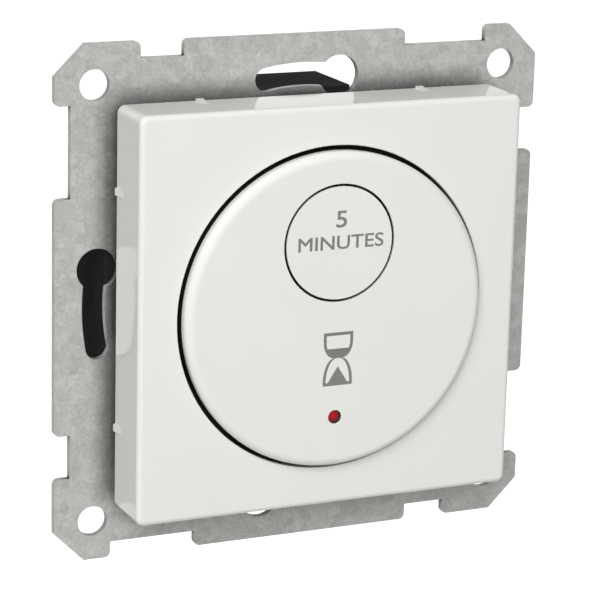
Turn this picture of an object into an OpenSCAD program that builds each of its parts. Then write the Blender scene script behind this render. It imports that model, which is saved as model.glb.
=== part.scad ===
// Flush-mounting timer light switch: a steel support plate, a black housing behind it with the
// boards, the relay and three rising-cage terminals, and in front a square cover with a round disc
// that holds the push button and the indicator lens. A black ring carries the disc.
// Millimetres. The row frame has X to the right, Z up and Y into the wall, and its origin is the
// centre of the plate's rear face. Pieces are drawn lying down, with z towards the viewer.

/* [Support plate] */
// Side of the square plate
plate_size = 71; // [69:0.5:80]
// Thickness of the sheet
plate_t = 1; // [0.8:0.1:1.5]
// Leg of the cut corners
plate_chamfer = 4.25; // [3:0.25:5]
// Depth of the notches in the edges
notch_depth = 2.2; // [1.4:0.1:2.6]
// Width of the wide notch
wide_notch_w = 12.4; // [8:0.2:13]
// Width of the narrow notch
narrow_notch_w = 6.1; // [4:0.1:8]
// Distance from the wide notch to the cut corner
wide_to_corner = 3.85; // [2.5:0.05:5]
// Distance from the narrow notch to the cut corner
narrow_to_corner = 7.65; // [5:0.05:10]
// Rounding of the tab corners
tab_round = 0.8; // [0.3:0.1:1]
// Distance of the corner holes from the plate's edges
hole_inset = 5.5; // [5:0.1:6.5]
// Diameter of the corner holes
hole_d = 4.2; // [3.2:0.1:5]

/* [Keyhole slots] */
// Diameter of the circle that the box screws lie on
keyhole_pcd = 60; // [59:0.25:61]
// Width of the slot
slot_w = 3.25; // [2.9:0.05:3.6]
// Diameter of the round head that the screw head passes through
keyhead_d = 5.7; // [5:0.1:6.4]
// Angle from the middle of the edge to the round head
keyhead_angle = 10; // [7:0.5:13]
// Angle from the middle of the edge to the slot's round end
slot_angle = 10.7; // [6:0.1:14]

/* [Cover] */
// Side of the square cover
cover_size = 55.3; // [54.7:0.1:57]
// Gap between the plate and the cover's skirt
cover_lift = 2.3; // [1.9:0.1:3.5]
// Depth of the cover from its skirt to its face
cover_depth = 8.5; // [8.2:0.1:10.5]
// Wall of the skirt
cover_wall = 1.5; // [1:0.1:1.6]
// Thickness of the front wall
cover_front_t = 1.8; // [1.4:0.1:2]
// Radius of the upright corners
cover_corner_r = 1.1; // [1:0.1:3]
// Rounding of the front edge
cover_edge_r = 0.7; // [0.3:0.1:0.9]
// Edge break of the round opening
opening_break = 0.1; // [0.05:0.05:0.4]
// Distance of the latch ribs from the middle of a side
rib_place = 16.2; // [10:0.2:20]
// Width of a latch rib
rib_w = 1; // [0.8:0.1:2]
// Height of a latch rib at the skirt's rim
rib_h = 0.3; // [0.2:0.05:0.6]
// Length of a latch rib
rib_len = 2.5; // [2:0.1:4]
// Width of the snap legs
leg_w = 8; // [5:0.5:10]
// Thickness of the snap legs
leg_t = 1.2; // [0.9:0.1:1.3]
// Gap between a snap leg and the skirt
leg_gap = 0.75; // [0.5:0.05:1]
// Reach of the barb on a snap leg
leg_barb = 0.6; // [0.3:0.1:0.8]
// Length of the barb on a snap leg
leg_barb_len = 1.4; // [1:0.1:1.6]
// Gap between the snap legs' ends and the carrier's flange
leg_lift = 1; // [0.6:0.1:1.4]

/* [Disc] */
// Distance from the cover's outer face to the disc
disc_margin = 5.95; // [5.6:0.05:6.6]
// Gap between the disc and the cover's opening
disc_gap = 0.6; // [0.3:0.05:0.8]
// How far the disc stands out of the cover
disc_proud = 1.8; // [1.2:0.1:2.5]
// Rounding of the disc's front edge
disc_edge_r = 1.1; // [0.4:0.1:1.2]
// Thickness of the disc's face
disc_t = 1.8; // [1.2:0.1:2]
// Wall of the ring that carries the disc
ring_wall = 1.5; // [1.2:0.1:1.8]
// Thickness of the ring's flange behind the cover
ring_flange_t = 1.3; // [1:0.1:1.5]
// Depth of the ring's upper edge below the cover's face
ring_drop = 0.1; // [0.05:0.05:0.3]
// Width of the key that keeps the ring upright
ring_key_w = 3; // [2:0.25:4]
// Depth of that key
ring_key_h = 1.5; // [1:0.1:2]
// Wall of the disc's skirt inside the ring
skirt_wall = 1; // [0.8:0.1:1.1]
// Reach of the skirt's bead, which snaps under the ring
skirt_bead = 0.4; // [0.3:0.05:0.5]
// Height of that bead
skirt_bead_h = 0.8; // [0.6:0.1:1]
// Width of the rib that keeps the disc upright in the ring
skirt_rib_w = 2; // [1.5:0.1:3]
// Reach of that rib into the ring
skirt_rib_h = 0.6; // [0.4:0.1:0.7]

/* [Button] */
// Diameter of the button
button_d = 15.4; // [13:0.1:16]
// Seam between the button and the disc
button_seam = 0.35; // [0.2:0.05:0.6]
// Height of the button's centre above the middle
button_up = 9.45; // [8.6:0.05:9.6]
// Travel of the button
button_travel = 0.8; // [0.4:0.1:0.9]
// Length of the collar that guides the button, from the face
collar_len = 4.5; // [4.2:0.1:4.7]
// Wall of the collar
collar_wall = 1.2; // [0.8:0.1:1.2]
// Width of the button's retaining flange
button_flange_w = 1; // [0.7:0.1:1.1]
// Thickness of that flange
button_flange_t = 0.8; // [0.6:0.1:1]
// Wall of the hollow button
button_wall = 1.5; // [1:0.1:2]
// Diameter of the stem that works the switch
stem_d = 4; // [3:0.1:5]
// Wire of the return spring
spring_wire = 0.5; // [0.3:0.05:0.6]
// Turns of the return spring
spring_turns = 4; // [2:0.5:4]

/* [Indicator] */
// Diameter of the lens
lens_d = 1.8; // [1.4:0.1:2.6]
// Distance of the lens below the middle
lens_down = 14.65; // [13.5:0.05:15.5]
// Height of the lens dome above the disc
lens_dome = 0.25; // [0.1:0.05:0.5]
// Diameter of the boss that holds the light guide
lens_boss_d = 4.4; // [3.8:0.1:5]
// Width of the stop ring on the light guide
guide_stop_w = 0.7; // [0.5:0.1:1]
// Thickness of that ring
guide_stop_t = 1; // [0.6:0.1:1.4]

/* [Housing] */
// Width and height of the housing
housing_size = 46; // [45.4:0.2:48]
// Depth of the housing behind the plate
housing_depth = 25.6; // [25.2:0.2:32]
// Leg of the housing's cut corners
housing_chamfer = 6.5; // [5.8:0.1:7.5]
// Wall of the housing
housing_wall = 1.6; // [1.4:0.1:1.8]
// Thickness of the rear wall
floor_t = 1.6; // [1.2:0.1:2]
// Edge break of the rear wall
floor_break = 1; // [0.4:0.1:1.4]
// Distance from the middle to the outer face of the lugs under the plate
lug_reach = 28; // [26.5:0.1:28.2]
// Width of a lug
lug_w = 14.6; // [12:0.2:16]
// Depth of a lug
lug_depth = 11.2; // [9.8:0.1:11.4]
// Wall of a lug
lug_wall = 1.4; // [1:0.1:1.6]
// Radius of the posts that carry the power board
post_r = 1.7; // [1.3:0.1:1.8]
// Distance of the posts from the housing's sides
post_inset = 6.5; // [6.3:0.1:7]

/* [Carrier] */
// Width of the carrier's flange on the plate, outside the upright frame
carrier_rim = 1; // [0.6:0.1:1.1]
// Thickness of that flange
carrier_flange_t = 1.6; // [1.2:0.1:1.8]
// Wall of the upright frame behind the disc
frame_wall = 1.4; // [1.2:0.1:1.6]
// Wall of the sleeve that passes through the plate
sleeve_wall = 1.3; // [1.1:0.1:1.4]
// Depth of the sleeve behind the plate
sleeve_depth = 1.5; // [1:0.1:2]
// Width of the snap arms
arm_w = 8; // [6:0.5:10]
// Depth of the snap arms behind the plate
arm_depth = 8.5; // [7.5:0.1:9.2]
// Reach of the barb on a snap arm
arm_barb = 0.7; // [0.4:0.1:0.9]
// Length of the barb on a snap arm
barb_len = 1.5; // [1:0.1:2]
// Radius of the upright corners of the flange and the frame
carrier_corner_r = 3; // [2:0.1:3.2]
// Width of the ledge under the control board
ledge_w = 1.1; // [0.8:0.1:1.4]
// Width of the clips that hold the control board
clip_w = 5; // [3:0.5:7]
// Thickness of such a clip
clip_t = 1.2; // [0.9:0.1:1.4]
// Reach of its hook over the board
clip_hook = 0.5; // [0.3:0.1:0.7]

/* [Boards] */
// Thickness of the boards
board_t = 1.6; // [1.2:0.1:1.6]
// Height of the control board's rear face above the plate
board_lift = 0.5; // [0.3:0.1:0.6]
// Space between the two boards
board_space = 4.5; // [4.2:0.1:5]
// Side of the key switch
switch_size = 6; // [5:0.1:6.4]
// Height of the key switch's body
switch_h = 3.5; // [3:0.1:3.6]
// Diameter of its plunger
plunger_d = 3.4; // [3:0.1:3.8]
// How far the plunger stands out of its body
plunger_proud = 1; // [0.95:0.05:1.3]
// How deep the plunger sits in its body
plunger_depth = 1.6; // [1:0.1:1.8]
// Length of the indicator LED
led_l = 3.2; // [2:0.1:3.6]
// Width of the indicator LED
led_w = 1.6; // [1.2:0.1:2]
// Height of the indicator LED
led_h = 1.1; // [0.8:0.1:1.4]
// Pins that link the boards
link_pins = 6; // [4:1:8]
// Spacing of those pins
link_pitch = 2.54; // [2:0.02:2.54]
// Diameter of those pins
link_pin_d = 0.6; // [0.4:0.05:0.8]
// Height of the strip that holds them
link_strip_h = 2.5; // [1.5:0.1:3]
// Length of the controller chip
chip_l = 8.7; // [8.4:0.1:10]
// Width of the controller chip
chip_w = 3.9; // [3.5:0.1:4.5]
// Height of the controller chip
chip_h = 1.6; // [1.3:0.1:2]
// Leads on each side of the chip
chip_leads = 7; // [4:1:7]
// Spacing of those leads
chip_pitch = 1.27; // [0.8:0.01:1.27]
// Length of the crystal's can
crystal_l = 9.4; // [8:0.1:10]
// Width of the crystal's can
crystal_w = 3.8; // [3:0.1:4.4]
// Height of the crystal's can
crystal_h = 3.2; // [2.5:0.1:3.6]
// Brim round the foot of the crystal's can
crystal_brim = 0.4; // [0.2:0.05:0.6]
// Length of the film capacitor
film_l = 17.5; // [13:0.1:17.8]
// Width of the film capacitor
film_w = 6.6; // [5:0.1:6.8]
// Height of the film capacitor
film_h = 13; // [9:0.1:16]
// Diameter of the smoothing capacitor
can_d = 8; // [6:0.1:8.4]
// Height of the smoothing capacitor
can_h = 12; // [8:0.1:16]
// Diameter of the varistor
varistor_d = 9; // [7:0.1:10]
// Thickness of the varistor
varistor_t = 3.6; // [3:0.1:4]
// Length of the fusible resistor
fuse_l = 9; // [7:0.1:9.4]
// Diameter of the fusible resistor
fuse_d = 3.2; // [2.5:0.1:3.6]
// Length of the rectifier
rectifier_l = 4.8; // [4:0.1:5.4]
// Width of the rectifier
rectifier_w = 4; // [3.6:0.1:4.4]
// Height of the rectifier
rectifier_h = 2.6; // [2:0.1:3]
// Thickness of a flat lead
lead_t = 0.25; // [0.15:0.05:0.3]
// Diameter of a round lead
lead_d = 0.7; // [0.5:0.05:0.8]

/* [Relay] */
// Length of the relay
relay_l = 20.4; // [20:0.1:21]
// Width of the relay
relay_w = 10.4; // [10:0.1:10.6]
// Height of the relay
relay_h = 15.2; // [15:0.1:16.5]
// Wall of the relay's cover
relay_wall = 0.6; // [0.5:0.05:0.7]
// Swing of the armature, in degrees
relay_swing = 4; // [2:0.5:4]

/* [Terminals] */
// Spacing of the terminals
terminal_pitch = 9; // [8.8:0.1:9.2]
// Width of a clamping cage
cage_w = 6; // [5.4:0.1:6.2]
// Length of a cage along the wire
cage_len = 5.8; // [5:0.1:6]
// Sheet of a cage
cage_t = 0.8; // [0.6:0.05:1]
// Wall of a cage that presses the wire
cage_front_t = 1; // [0.8:0.1:1.2]
// Wall of a cage that holds the thread
cage_rear_t = 1.2; // [1:0.1:1.4]
// Gap between that wall and the bar in an open cage
cage_gap = 0.6; // [0.4:0.1:0.8]
// Gap between a cage and the housing's wall
cage_end_gap = 0.6; // [0.4:0.1:0.8]
// Room for the wire in an open cage
wire_room = 3.6; // [3:0.1:3.8]
// Room left when the cage is fully closed
wire_least = 0.6; // [0.5:0.1:1]
// Width of a terminal bar
bar_w = 3.6; // [3:0.1:3.8]
// Thickness of a terminal bar
bar_t = 1; // [0.8:0.1:1.2]
// Distance from a cage to the bar's upright leg
bar_leg_gap = 0.5; // [0.4:0.1:0.8]
// Diameter of the terminal screw's head
screw_head_d = 4.8; // [4.4:0.1:5.2]
// Height of the terminal screw's head
screw_head_h = 1.8; // [1.4:0.1:2]
// Diameter of the terminal screw's shank
screw_d = 2.9; // [2.5:0.1:3]
// Width of the slots in the screw's head
screw_slot_w = 0.8; // [0.6:0.1:1]
// Diameter of the hole through which a screw is turned
driver_hole_d = 3.9; // [3.5:0.1:4.2]
// Side of the window through which a wire goes in
wire_window = 4.4; // [4.2:0.1:4.6]
// Lead-in round the driver holes and the wire windows
lead_in = 0.7; // [0.4:0.1:0.8]

/* [Fits] */
// Clearance of a sliding or clipped fit
fit = 0.2; // [0.1:0.05:0.25]
// Clearance of a running fit, on the radius
run_fit = 0.05; // [0.03:0.01:0.08]
// Clearance at an end stop
stop_gap = 0.1; // [0.05:0.05:0.15]
// Clearance of the boards in the sleeve
board_gap = 0.3; // [0.2:0.05:0.4]
// Clearance of a clamping cage between the walls of its chamber
cage_fit = 0.3; // [0.2:0.05:0.4]

/* [Hidden] */
$fn = 64;

// Overlap that makes two shapes of one piece join, and cuts run past a face
over = 0.5;
sides = [-1, 1];
tab_steps = 5;
slot_steps = 12;

// Heights above the plate's rear face
cover_rim_z = plate_t + cover_lift;
cover_face_z = cover_rim_z + cover_depth;
cover_under_z = cover_face_z - cover_front_t;
disc_face_z = cover_face_z + disc_proud;
disc_under_z = disc_face_z - disc_t;
ring_seat_z = cover_under_z - ring_flange_t;
ring_top_z = cover_face_z - ring_drop;
carrier_top_z = plate_t + carrier_flange_t;
ledge_z = plate_t + board_lift;
control_z = ledge_z + board_t;
power_front_z = ledge_z - board_space;
power_z = power_front_z - board_t;
floor_z = floor_t - housing_depth;

// Half widths
plate_half = plate_size / 2;
hole_place = plate_half - hole_inset;
cover_half = cover_size / 2;
housing_half = housing_size / 2;
post_place = housing_half - post_inset;
frame_half = cover_half - cover_wall - leg_gap - leg_t - fit;
disc_r = cover_half - disc_margin;
opening_r = disc_r + disc_gap;
ring_in = disc_r - ring_wall;
skirt_r = ring_in - fit;

// Insets from the housing's outline: its inside, the sleeve, the boards and the ledge under one
inner_inset = housing_wall;
sleeve_inset = inner_inset + fit;
sleeve_in_inset = sleeve_inset + sleeve_wall;
board_inset = sleeve_in_inset + board_gap;
ledge_inset = board_inset + ledge_w;
inner_half = housing_half - inner_inset;
arm_out = housing_half - sleeve_inset;
arm_t = sleeve_wall;

// Snap legs of the cover and their windows in the upright frame
leg_in = frame_half + fit;
leg_end_z = carrier_top_z + leg_lift;

// Button
button_r = button_d / 2;
collar_r = button_r + button_seam;
collar_end_z = disc_face_z - collar_len;
button_flange_z = collar_end_z - stop_gap;
button_end_z = button_flange_z - button_flange_t;
button_hollow_r = button_r - button_wall;
spring_r = (button_hollow_r + button_r + button_flange_w) / 2;
plunger_r = plunger_d / 2;
plunger_z = control_z + switch_h + plunger_proud;

// Terminals, counted from the rear wall
terminal_y = cage_end_gap + cage_len / 2 - inner_half;
screw_len = cage_gap + cage_rear_t + wire_room - wire_least;
screw_head_z = floor_z + stop_gap + screw_head_h;
screw_tip_z = screw_head_z + screw_len;
bar_z = screw_tip_z + stop_gap;
cage_front_z = bar_z + bar_t + wire_room;
cage_rear_z = bar_z - cage_gap;
wire_z = bar_z + bar_t + wire_room / 2;
bar_from_y = terminal_y - cage_len / 2 + fit;
bar_leg_y = terminal_y + cage_len / 2 + bar_leg_gap;
terminal_wall_t = terminal_pitch - cage_w - 2 * cage_fit;
terminal_wall_top_z = cage_front_z + cage_front_t + fit;

// Places of the parts on the boards
chip_at = [-9, -6];
crystal_at = [9, -6];
link_y = -15.5;
relay_at = [-2.5, 12.6];
film_at = [-6.5, 1.2];
can_at = [8.8, 1.6];
varistor_at = [16, 2];
fuse_at = [-8, -7];
rectifier_at = [6, -7];

// Relay, measured from the board up and from its middle along its length
relay_floor_h = 1.9;
relay_stand = 0.3;
relay_end_gap = 0.5;
relay_pin_inset = 2.2;
relay_pin_step = 3;
relay_pin_row = 3.5;
armature_room = 2.6;
coil_gap = 0.4;
bobbin_r = 3.9;
bobbin_end_t = 0.8;
bobbin_wall = 0.5;
winding_r = 3.4;
core_r = 1.5;
iron_t = 1.2;
iron_w = 7;
heel_t = 0.6;
pole_gap = 0.6;
pole_proud = 0.3;
armature_l = 9.2;
leaf_t = 0.3;
leaf_w = 4;
leaf_root = 1;
contact_inset = 3.4;
contact_r = 1.3;
contact_h = 0.7;
contact_gap = 0.15;
contact_lip = 0.3;
strip_t = 0.6;
relay_in = relay_l / 2 - relay_wall;
yoke_at = iron_t + relay_end_gap - relay_in;
coil_at = yoke_at + coil_gap + bobbin_r;
contact_at = relay_in - contact_inset;
yoke_top_h = relay_h - relay_wall - armature_room;
bobbin_low_h = relay_floor_h + heel_t;
bobbin_high_h = yoke_top_h - pole_gap - pole_proud;
leaf_h = yoke_top_h + run_fit + iron_t;
contact_face_h = leaf_h - contact_h - (contact_at - yoke_at) * tan(relay_swing) - contact_gap;

function inset_chamfer(inset) = housing_chamfer - inset * (2 - sqrt(2));

module upright() {
    rotate([90, 0, 0]) children();
}

module quarter_turns() {
    for (turn = [0:3]) rotate(turn * 90) children();
}

module between(low, high) {
    translate([0, 0, low]) linear_extrude(high - low) children();
}

module at_corners(place) {
    for (sx = sides, sy = sides) translate([sx * place, sy * place]) children();
}

module chamfered_square(half, cut) {
    reach = half - cut;
    polygon([[half, reach], [reach, half], [-reach, half], [-half, reach],
        [-half, -reach], [-reach, -half], [reach, -half], [half, -reach]]);
}

module rounded_square(half, r) {
    square([2 * half, 2 * (half - r)], center = true);
    square([2 * (half - r), 2 * half], center = true);
    at_corners(half - r) circle(r);
}

// The housing's octagon, moved inwards
module octagon(inset) {
    chamfered_square(housing_half - inset, inset_chamfer(inset));
}

// A square block with round upright corners and a rounded front edge
module pillow_block(half, low, high, corner_r, edge_r) {
    flat = half - edge_r;
    between(low, high - edge_r) rounded_square(half, corner_r);
    between(high - edge_r - over, high) rounded_square(flat, corner_r - edge_r);
    quarter_turns() translate([0, flat, high - edge_r]) rotate([0, 90, 0])
        cylinder(r = edge_r, h = 2 * (half - corner_r), center = true);
    at_corners(half - corner_r) translate([0, 0, high - edge_r]) rotate_extrude() {
        translate([corner_r - edge_r, 0]) intersection() {
            circle(edge_r);
            square(edge_r);
        }
        square([corner_r - edge_r, edge_r]);
    }
}

// A wedge on the upper side, with its height along y and its length along z
module wedge(width, height, length, root) {
    translate([-width / 2, 0, 0]) rotate([90, 0, 90]) linear_extrude(width)
        polygon([[-root, 0], [height, 0], [0, length], [-root, length]]);
}

// Round corner of a tab on the upper edge, with the tab to the right of x or to its left
function tab_corner(x, side) = [for (k = [0:tab_steps])
    let (a = (side > 0 ? 180 : 90) - 90 * k / tab_steps)
    [x + side * tab_round + tab_round * cos(a), plate_half - tab_round + tab_round * sin(a)]];

// Upper edge of the plate from left to right: corner tab, narrow notch, centre tab, wide notch
function plate_edge() = let (floor_y = plate_half - notch_depth, reach = plate_half - plate_chamfer,
    narrow_from = narrow_to_corner - reach, narrow_to = narrow_from + narrow_notch_w,
    wide_to = reach - wide_to_corner, wide_from = wide_to - wide_notch_w)
    concat([[-reach, plate_half]],
        tab_corner(narrow_from, -1), [[narrow_from, floor_y], [narrow_to, floor_y]],
        tab_corner(narrow_to, 1), tab_corner(wide_from, -1),
        [[wide_from, floor_y], [wide_to, floor_y]], tab_corner(wide_to, 1), [[reach, plate_half]]);

function quarter_turned(points, turn) = [for (p = points)
    [[p.x, p.y], [p.y, -p.x], [-p.x, -p.y], [-p.y, p.x]][turn]];

module plate_outline() {
    polygon([for (turn = [0:3]) each quarter_turned(plate_edge(), turn)]);
}

function on_circle(r, angle) = [-r * sin(angle), r * cos(angle)];

// Slot along the screw circle, from the round head on the right to its round end on the left
module keyhole() {
    pitch_r = keyhole_pcd / 2;
    reach = slot_w / 2;
    sweep = slot_angle + keyhead_angle;
    end = on_circle(pitch_r, slot_angle);
    polygon(concat(
        [for (k = [0:slot_steps]) on_circle(pitch_r + reach, sweep * k / slot_steps - keyhead_angle)],
        [for (k = [1:slot_steps - 1]) end + on_circle(reach, slot_angle + 180 * k / slot_steps)],
        [for (k = [0:slot_steps]) on_circle(pitch_r - reach, slot_angle - sweep * k / slot_steps)]));
    translate(on_circle(pitch_r, -keyhead_angle)) circle(keyhead_d / 2);
}

module support_plate() {
    color("silver") upright() between(0, plate_t) difference() {
        plate_outline();
        quarter_turns() keyhole();
        at_corners(hole_place) circle(hole_d / 2);
        octagon(inner_inset);
    }
}

// Lug that backs the plate beside a keyhole, open to the rear
module plate_lug() {
    root = housing_half - over;
    difference() {
        translate([-lug_w / 2, root, -lug_depth]) cube([lug_w, lug_reach - root, lug_depth]);
        translate([-lug_w / 2 + lug_wall, housing_half + lug_wall / 2, -lug_depth - over])
            cube([lug_w - 2 * lug_wall, lug_reach - lug_wall - housing_half - lug_wall / 2,
                lug_depth - lug_wall + over]);
    }
}

module housing_shell() {
    hull() {
        between(floor_break - housing_depth, 0) octagon(0);
        between(-housing_depth, -housing_depth + floor_break) octagon(floor_break);
    }
    quarter_turns() plate_lug();
}

module at_terminals() {
    for (i = [-1:1]) translate([i * terminal_pitch, terminal_y]) children();
}

// Walls between the terminals, from the outer wall to past the cages
module terminal_walls() {
    wall_from = -inner_half - over;
    wall_len = terminal_y + cage_len / 2 + fit - wall_from;
    for (i = [-2:1]) translate([(i + 0.5) * terminal_pitch - terminal_wall_t / 2, wall_from])
        between(floor_z - over, terminal_wall_top_z) square([terminal_wall_t, wall_len]);
}

// Window for a wire in the lower wall, with a funnel on its outer side
module wire_way() {
    half = wire_window / 2;
    flare = half + lead_in + over;
    cube([wire_window, 2 * (housing_wall + over), wire_window], center = true);
    intersection_for (turn = [0, 90]) rotate([0, turn, 0]) linear_extrude(2 * flare, center = true)
        polygon([[-flare, -over], [flare, -over], [half, lead_in], [-half, lead_in]]);
}

module housing_base() {
    recess_w = arm_w + 2 * fit;
    driver_r = driver_hole_d / 2;
    color("#1d1d1f") upright() {
        difference() {
            housing_shell();
            between(floor_z, over) octagon(inner_inset);
            quarter_turns() translate([-recess_w / 2, inner_half - over, -arm_depth - fit])
                cube([recess_w, over + arm_barb + fit, barb_len + 3 * fit]);
            at_terminals() translate([0, 0, -housing_depth - over]) {
                cylinder(r = driver_r, h = floor_t + 2 * over);
                cylinder(r1 = driver_r + lead_in + over, r2 = driver_r, h = lead_in + over);
            }
            for (i = [-1:1]) translate([i * terminal_pitch, -housing_half, wire_z]) wire_way();
        }
        at_corners(post_place) between(floor_z - over, power_z) circle(post_r);
        terminal_walls();
    }
}

module snap_arm() {
    translate([-arm_w / 2, arm_out - arm_t, -arm_depth])
        cube([arm_w, arm_t, arm_depth - sleeve_depth + over]);
    translate([0, arm_out, -arm_depth + barb_len]) mirror([0, 0, 1])
        wedge(arm_w, arm_barb + fit, barb_len, over);
}

// Clip on the right side, with its hook over the edge of the control board
module board_clip() {
    wall_x = housing_half - sleeve_in_inset + stop_gap;
    hook_x = housing_half - board_inset - clip_hook;
    hook_z = control_z + stop_gap;
    translate([wall_x, -clip_w / 2]) between(carrier_top_z - over, hook_z + clip_t)
        square([clip_t, clip_w]);
    translate([hook_x, -clip_w / 2]) between(hook_z, hook_z + clip_t)
        square([wall_x - hook_x + over, clip_w]);
}

module front_carrier() {
    color("#2b2b2e") upright() difference() {
        union() {
            difference() {
                union() {
                    between(plate_t, carrier_top_z)
                        rounded_square(frame_half + carrier_rim, carrier_corner_r);
                    between(-sleeve_depth, plate_t + over) octagon(sleeve_inset);
                }
                between(ledge_z, carrier_top_z + over) octagon(sleeve_in_inset);
                between(-sleeve_depth - over, ledge_z + over) octagon(ledge_inset);
            }
            between(carrier_top_z - over, ring_seat_z) difference() {
                rounded_square(frame_half, carrier_corner_r);
                rounded_square(frame_half - frame_wall, carrier_corner_r - frame_wall);
            }
            quarter_turns() snap_arm();
            for (turn = [0, 180]) rotate(turn) board_clip();
            intersection() {
                at_corners(post_place) between(power_front_z, ledge_z) circle(post_r);
                between(power_front_z, ledge_z) octagon(sleeve_inset);
            }
        }
        quarter_turns() translate([-leg_w / 2 - fit, frame_half - frame_wall - over, leg_end_z - fit])
            cube([leg_w + 2 * fit, frame_wall + 2 * over, leg_barb_len + 2 * fit]);
        translate([-ring_key_w / 2 - fit, -frame_half - over, ring_seat_z - ring_key_h - fit])
            cube([ring_key_w + 2 * fit, frame_wall + 2 * over, ring_key_h + fit + over]);
    }
}

module cover_leg() {
    translate([-leg_w / 2, leg_in, leg_end_z]) cube([leg_w, leg_t, cover_under_z + over - leg_end_z]);
    translate([0, leg_in, leg_end_z + leg_barb_len]) mirror([0, 1, 0]) mirror([0, 0, 1])
        wedge(leg_w, leg_barb + fit, leg_barb_len, over);
}

module centre_plate() {
    color("#f4f4f0") upright() {
        difference() {
            union() {
                pillow_block(cover_half, cover_rim_z, cover_face_z, cover_corner_r, cover_edge_r);
                quarter_turns() for (side = sides) translate([side * rib_place, cover_half, cover_rim_z])
                    wedge(rib_w, rib_h, rib_len, over);
            }
            between(cover_rim_z - over, cover_under_z)
                rounded_square(cover_half - cover_wall, cover_corner_r);
            between(cover_under_z - over, cover_face_z + over) circle(opening_r, $fn = 128);
            translate([0, 0, cover_face_z - opening_break]) cylinder(r1 = opening_r,
                r2 = opening_r + 2 * opening_break, h = 2 * opening_break, $fn = 128);
        }
        quarter_turns() cover_leg();
    }
}

// Ring between the carrier and the cover, with a collar that fills the opening up to the disc
module disc_ring() {
    collar_h = ring_top_z - ring_seat_z;
    notch_w = skirt_rib_w + 2 * fit;
    color("#1d1d1f") upright() {
        difference() {
            rotate_extrude($fn = 128) translate([ring_in, ring_seat_z]) {
                square([ring_wall, collar_h]);
                square([frame_half - ring_in, ring_flange_t]);
            }
            translate([-notch_w / 2, -ring_in - skirt_rib_h - fit, ring_seat_z - over])
                cube([notch_w, skirt_rib_h + fit + over, collar_h + 2 * over]);
        }
        translate([-ring_key_w / 2, -frame_half + fit, ring_seat_z - ring_key_h])
            cube([ring_key_w, frame_wall - 2 * fit, ring_key_h + over]);
    }
}

// Half section of the disc: its face, the rounded rim on the ring, and the skirt with its bead
module disc_section() {
    skirt_in = skirt_r - skirt_wall;
    bead_z = ring_seat_z - stop_gap - skirt_bead_h;
    translate([disc_r - disc_edge_r, disc_face_z - disc_edge_r]) intersection() {
        circle(disc_edge_r);
        square(disc_edge_r);
    }
    translate([0, disc_under_z]) square([disc_r - disc_edge_r, disc_t]);
    translate([skirt_in, ring_top_z])
        square([disc_r - skirt_in, disc_face_z - disc_edge_r - ring_top_z]);
    translate([skirt_in, bead_z]) square([skirt_wall, ring_top_z + over - bead_z]);
    translate([skirt_r, bead_z])
        polygon([[-over, 0], [0, 0], [skirt_bead, skirt_bead_h], [-over, skirt_bead_h]]);
}

module face_disc() {
    color("#f4f4f0") upright() {
        difference() {
            union() {
                rotate_extrude($fn = 128) intersection() {
                    disc_section();
                    square(2 * disc_r);
                }
                translate([0, button_up]) between(collar_end_z, disc_under_z + over)
                    circle(collar_r + collar_wall);
                translate([0, -lens_down]) between(collar_end_z, disc_under_z + over)
                    circle(d = lens_boss_d);
            }
            translate([0, button_up]) between(collar_end_z - over, disc_face_z + over) circle(collar_r);
            translate([0, -lens_down]) between(collar_end_z - over, disc_face_z + over)
                circle(lens_d / 2 + run_fit);
        }
        translate([-skirt_rib_w / 2, -ring_in - skirt_rib_h, ring_seat_z])
            cube([skirt_rib_w, skirt_rib_h + fit + over, ring_top_z + over - ring_seat_z]);
    }
}

module push_button() {
    color("#f4f4f0") upright() translate([0, button_up]) {
        difference() {
            union() {
                between(button_end_z, disc_face_z) circle(button_r);
                between(button_end_z, button_flange_z) circle(button_r + button_flange_w);
            }
            between(button_end_z - over, disc_face_z - disc_t) circle(button_hollow_r);
        }
        between(plunger_z + stop_gap, disc_face_z - disc_t + over) circle(d = stem_d);
    }
}

// One unbroken tube along a helix, with ends flat across the wire
module helix(radius, wire_r, low, high, turns) {
    steps = ceil(turns * 12);
    ring = 6;
    points = [for (i = [0:steps], j = [0:ring - 1])
        let (a = 360 * turns * i / steps, z = low + (high - low) * i / steps, b = 360 * j / ring)
        [(radius + wire_r * cos(b)) * cos(a), (radius + wire_r * cos(b)) * sin(a), z + wire_r * sin(b)]];
    walls = [for (i = [0:steps - 1], j = [0:ring - 1], half = [0, 1])
        let (a = i * ring + j, b = i * ring + (j + 1) % ring)
        half == 0 ? [a, b, b + ring] : [a, b + ring, a + ring]];
    first = [for (j = [1:ring - 2]) [0, j + 1, j]];
    last_from = steps * ring;
    last = [for (j = [1:ring - 2]) [last_from, last_from + j, last_from + j + 1]];
    polyhedron(points, concat(walls, first, last));
}

module button_spring() {
    seat = spring_wire / 2 + stop_gap;
    echo(least_gap = (button_end_z - control_z - 2 * seat) / spring_turns - spring_wire);
    color("lightsteelblue") upright() translate([0, button_up])
        helix(spring_r, spring_wire / 2, control_z + seat, button_end_z - seat, spring_turns);
}

module light_guide() {
    guide_r = lens_d / 2;
    dome_r = (guide_r * guide_r + lens_dome * lens_dome) / (2 * lens_dome);
    foot_z = control_z + led_h + board_gap;
    stop_z = collar_end_z - stop_gap;
    color("#8e1010") upright() translate([0, -lens_down]) rotate_extrude() {
        translate([0, foot_z]) square([guide_r, disc_face_z - foot_z]);
        translate([0, stop_z - guide_stop_t]) square([guide_r + guide_stop_w, guide_stop_t]);
        intersection() {
            translate([0, disc_face_z + lens_dome - dome_r]) circle(dome_r);
            translate([0, disc_face_z - over]) square([guide_r, over + lens_dome]);
        }
    }
}

module control_board() {
    color("#1f5c34") upright() between(ledge_z, control_z) octagon(board_inset);
}

module on_control_board(place) {
    upright() translate([place.x, place.y, control_z]) children();
}

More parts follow.
